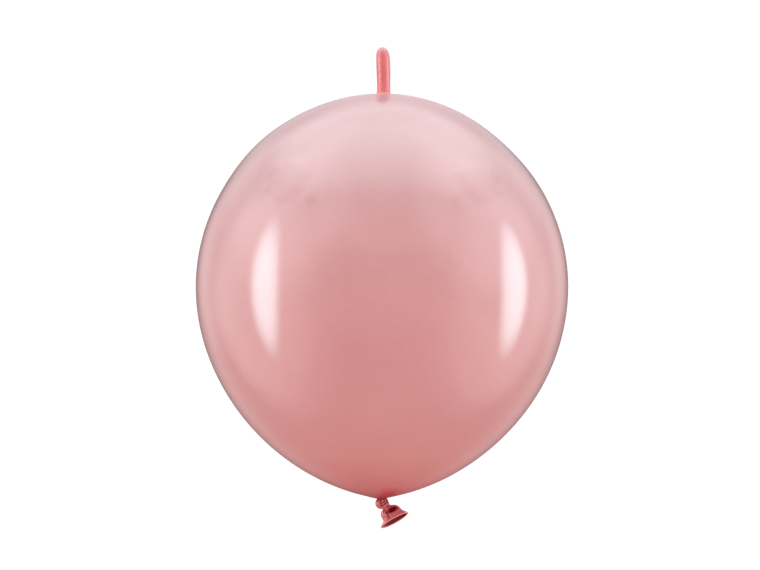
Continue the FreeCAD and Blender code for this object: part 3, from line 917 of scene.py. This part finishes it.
def plain_material(name, color, glow):
    material = bpy.data.materials.new(name)
    material.use_nodes = True
    shader = material.node_tree.nodes["Principled BSDF"]
    socket(shader, "Base Color", (*color, 1.0))
    socket(shader, "Roughness", MATT)
    socket(shader, "Emission Color", (1.0, 1.0, 1.0, 1.0))
    socket(shader, "Emission Strength", glow)
    return material


def stage_ring(radius, height):
    ring = []
    for column in range(STAGE_SIDES):
        angle = 2 * math.pi * column / STAGE_SIDES
        ring.append(Vector((radius * math.cos(angle), radius * math.sin(angle), height)))
    return ring


def make_stage():
    """A pale floor inside a white studio cove that only the camera sees."""
    floor_ring = stage_ring(FLOOR_RADIUS, FLOOR_HEIGHT)
    floor = make_object("studio_floor", floor_ring, [tuple(range(STAGE_SIDES))])
    floor.data.materials.append(plain_material("floor_pale", FLOOR_COLOR, FLOOR_GLOW))
    floor.visible_glossy = False
    rings = []
    for row in range(COVE_ROWS + 1):
        rise = math.pi * (row / COVE_ROWS - 0.5)
        radius = max(COVE_TIP, COVE_RADIUS * math.cos(rise))
        rings.append(stage_ring(radius, COVE_RADIUS * math.sin(rise)))
    cove = skin_rings("studio_cove", rings)
    cove.data.materials.append(plain_material("cove_white", (0.0, 0.0, 0.0), COVE_GLOW))
    cove.visible_glossy = False
    cove.visible_diffuse = False
    cove.visible_shadow = False
    cove.visible_transmission = False


# The overhead glow and the side walls are each a few overlapping panels, so no edge shows.
# No two lie in one plane, because a ray would then meet only one of them.
COOL = (0.93, 0.97, 1.0)
PALE = (0.88, 0.98, 1.0)
STRIP_WHITE = (0.62, 0.95, 1.0)
MIDDLE = 185.0 * MM
CENTER = (0.0, 0.0, MIDDLE)
# name, distance to the right, distance behind, size, radiance, bow
STRIPS = (
    ("left_strip", -0.93, -0.35, (0.44, 1.3), 9.6, 0.1),
    ("right_strip", 0.95, -0.15, (0.44, 1.14), 8.8, -0.07),
)
# name, place, what it faces, size, radiance, colour
MIDDLE_PANELS = (
    ("overhead", (0, 0.02, 1.5), (0, 0.02, 0), (3.6, 2.7), 1.4, PALE),
    ("overhead_near", (0, -0.2, 1.44), (0, -0.2, 0), (2.9, 1.55), 1.65, PALE),
    ("overhead_far", (0, 0.35, 1.56), (0, 0.2, 0), (3.7, 2.8), 1.35, PALE),
    ("crown_rim", (0, 1.45, 0.93), CENTER, (1.9, 1.1), 0.6, COOL),
    ("front_panel", (0, -1.0, 1.02), CENTER, (2.3, 1.3), 0.85, COOL),
)
# name, place on the right side, size, radiance; each has a twin on the left
SIDE_PANELS = (
    ("tent_panel", (0.98, -0.34, 0.87), (2.2, 2.2), 1.05),
    ("tent_near", (0.9, -0.62, 0.78), (1.9, 1.9), 0.8),
    ("tent_far", (0.8, 0.25, 1.05), (1.8, 1.8), 0.7),
    ("shoulder_panel", (1.15, 0.1, 1.38), (0.8, 0.8), 1.0),
    ("wall_panel", (1.13, -0.41, 0.1), (2.9, 4.2), 0.58),
    ("wall_inner", (1.2, -0.2, 0.1), (2.4, 3.2), 1.05),
    ("wall_low", (1.1, -0.3, -0.35), (2.2, 2.2), 0.2),
    ("back_panel", (1.0, 0.55, 0.6), (1.9, 2.3), 0.45),
)


def softbox(name, place, aim, size, radiance, color, bow=0.0):
    """An oval lamp seen only in reflections, which fades from its middle to its edge.

    With a bow its middle is pushed sideways against its two ends, like a crescent.
    """
    data = bpy.data.lights.new(name, "AREA")
    data.shape = "RECTANGLE"
    data.size = size[0] + 2 * abs(bow)
    data.size_y = size[1]
    data.energy = math.pi * data.size * data.size_y
    data.color = color
    data.use_nodes = True
    tree = data.node_tree
    spot = tree.nodes.new("ShaderNodeNewGeometry")
    split = tree.nodes.new("ShaderNodeSeparateXYZ")
    tree.links.new(spot.outputs["Parametric"], split.inputs[0])
    up = formula(tree, "MULTIPLY_ADD", split.outputs["Y"], 2.0, -1.0)
    up_square = formula(tree, "MULTIPLY", up, up)
    widen = data.size / size[0]
    across = formula(tree, "MULTIPLY_ADD", split.outputs["X"], 2.0 * widen, -widen)
    bent = formula(tree, "MULTIPLY_ADD", up_square, 2.0 * bow / size[0], across)
    square = formula(tree, "MULTIPLY_ADD", bent, bent, up_square)
    fade = tree.nodes.new("ShaderNodeMapRange")
    fade.interpolation_type = "SMOOTHSTEP"
    socket(fade, "From Min", 1.0)
    socket(fade, "From Max", 0.0)
    socket(fade, "To Max", radiance)
    tree.links.new(square, fade.inputs["Value"])
    tree.links.new(fade.outputs["Result"], tree.nodes["Emission"].inputs["Strength"])
    light = bpy.data.objects.new(name, data)
    light.location = place
    direction = Vector(aim) - Vector(place)
    light.rotation_euler = direction.to_track_quat("-Z", "Y").to_euler()
    light.visible_camera = False
    light.visible_diffuse = False
    bpy.context.scene.collection.objects.link(light)


def make_lights():
    for name, right, behind, size, radiance, bow in STRIPS:
        softbox(name, (right, behind, MIDDLE), (0, behind, MIDDLE), size, radiance,
                STRIP_WHITE, bow)
    for panel in MIDDLE_PANELS:
        softbox(*panel)
    for side in (-1.0, 1.0):
        for name, (right, behind, height), size, radiance in SIDE_PANELS:
            softbox(name, (side * right, behind, height), CENTER, size, radiance, COOL)


# axis, where the light starts to fall and where it has fallen, and what is left of it there
WORLD_FALLS = (
    ("Y", 0.74, 1.0, 0.2),
    ("Z", -0.1, -0.8, 0.4),
)
WORLD_COLOR = (0.985, 0.99, 1.0, 1.0)


def make_world():
    """Even studio fill, dim behind and below the object so that its rim stays defined."""
    world = bpy.data.worlds.new("studio")
    bpy.context.scene.world = world
    world.use_nodes = True
    nodes = world.node_tree.nodes
    links = world.node_tree.links
    background = nodes["Background"]
    place = nodes.new("ShaderNodeTexCoord")
    split = nodes.new("ShaderNodeSeparateXYZ")
    links.new(place.outputs["Generated"], split.inputs[0])
    strengths = []
    for axis, bright, dark, least in WORLD_FALLS:
        fall = nodes.new("ShaderNodeMapRange")
        fall.interpolation_type = "SMOOTHSTEP"
        socket(fall, "From Min", bright)
        socket(fall, "From Max", dark)
        socket(fall, "To Min", 1.0)
        socket(fall, "To Max", least)
        links.new(split.outputs[axis], fall.inputs["Value"])
        strengths.append(fall.outputs["Result"])
    both = formula(world.node_tree, "MULTIPLY", *strengths)
    links.new(both, background.inputs["Strength"])
    socket(background, "Color", WORLD_COLOR)


SENSOR_WIDTH = 36.0
LENS = 120.0
FRAME_WIDTH = 0.675       # what the picture spans at the object
CAMERA_PLACE = (-1.77 * MM, 189.2 * MM)
CAMERA_ROLL = math.radians(0.49)


def make_camera():
    """A long lens, level with the body, rolled half a degree so the axis leans right."""
    data = bpy.data.cameras.new("camera")
    data.sensor_width = SENSOR_WIDTH
    data.lens = LENS
    camera = bpy.data.objects.new("camera", data)
    distance = FRAME_WIDTH * LENS / SENSOR_WIDTH
    across, height = CAMERA_PLACE
    camera.matrix_world = (
        Matrix.Translation((across, -distance, height))
        @ Matrix.Rotation(math.radians(90), 4, "X")
        @ Matrix.Rotation(CAMERA_ROLL, 4, "Z")
    )
    bpy.context.scene.collection.objects.link(camera)
    bpy.context.scene.camera = camera


make_stage()
make_lights()
make_world()
make_camera()
bpy.context.scene.view_settings.view_transform = "Standard"
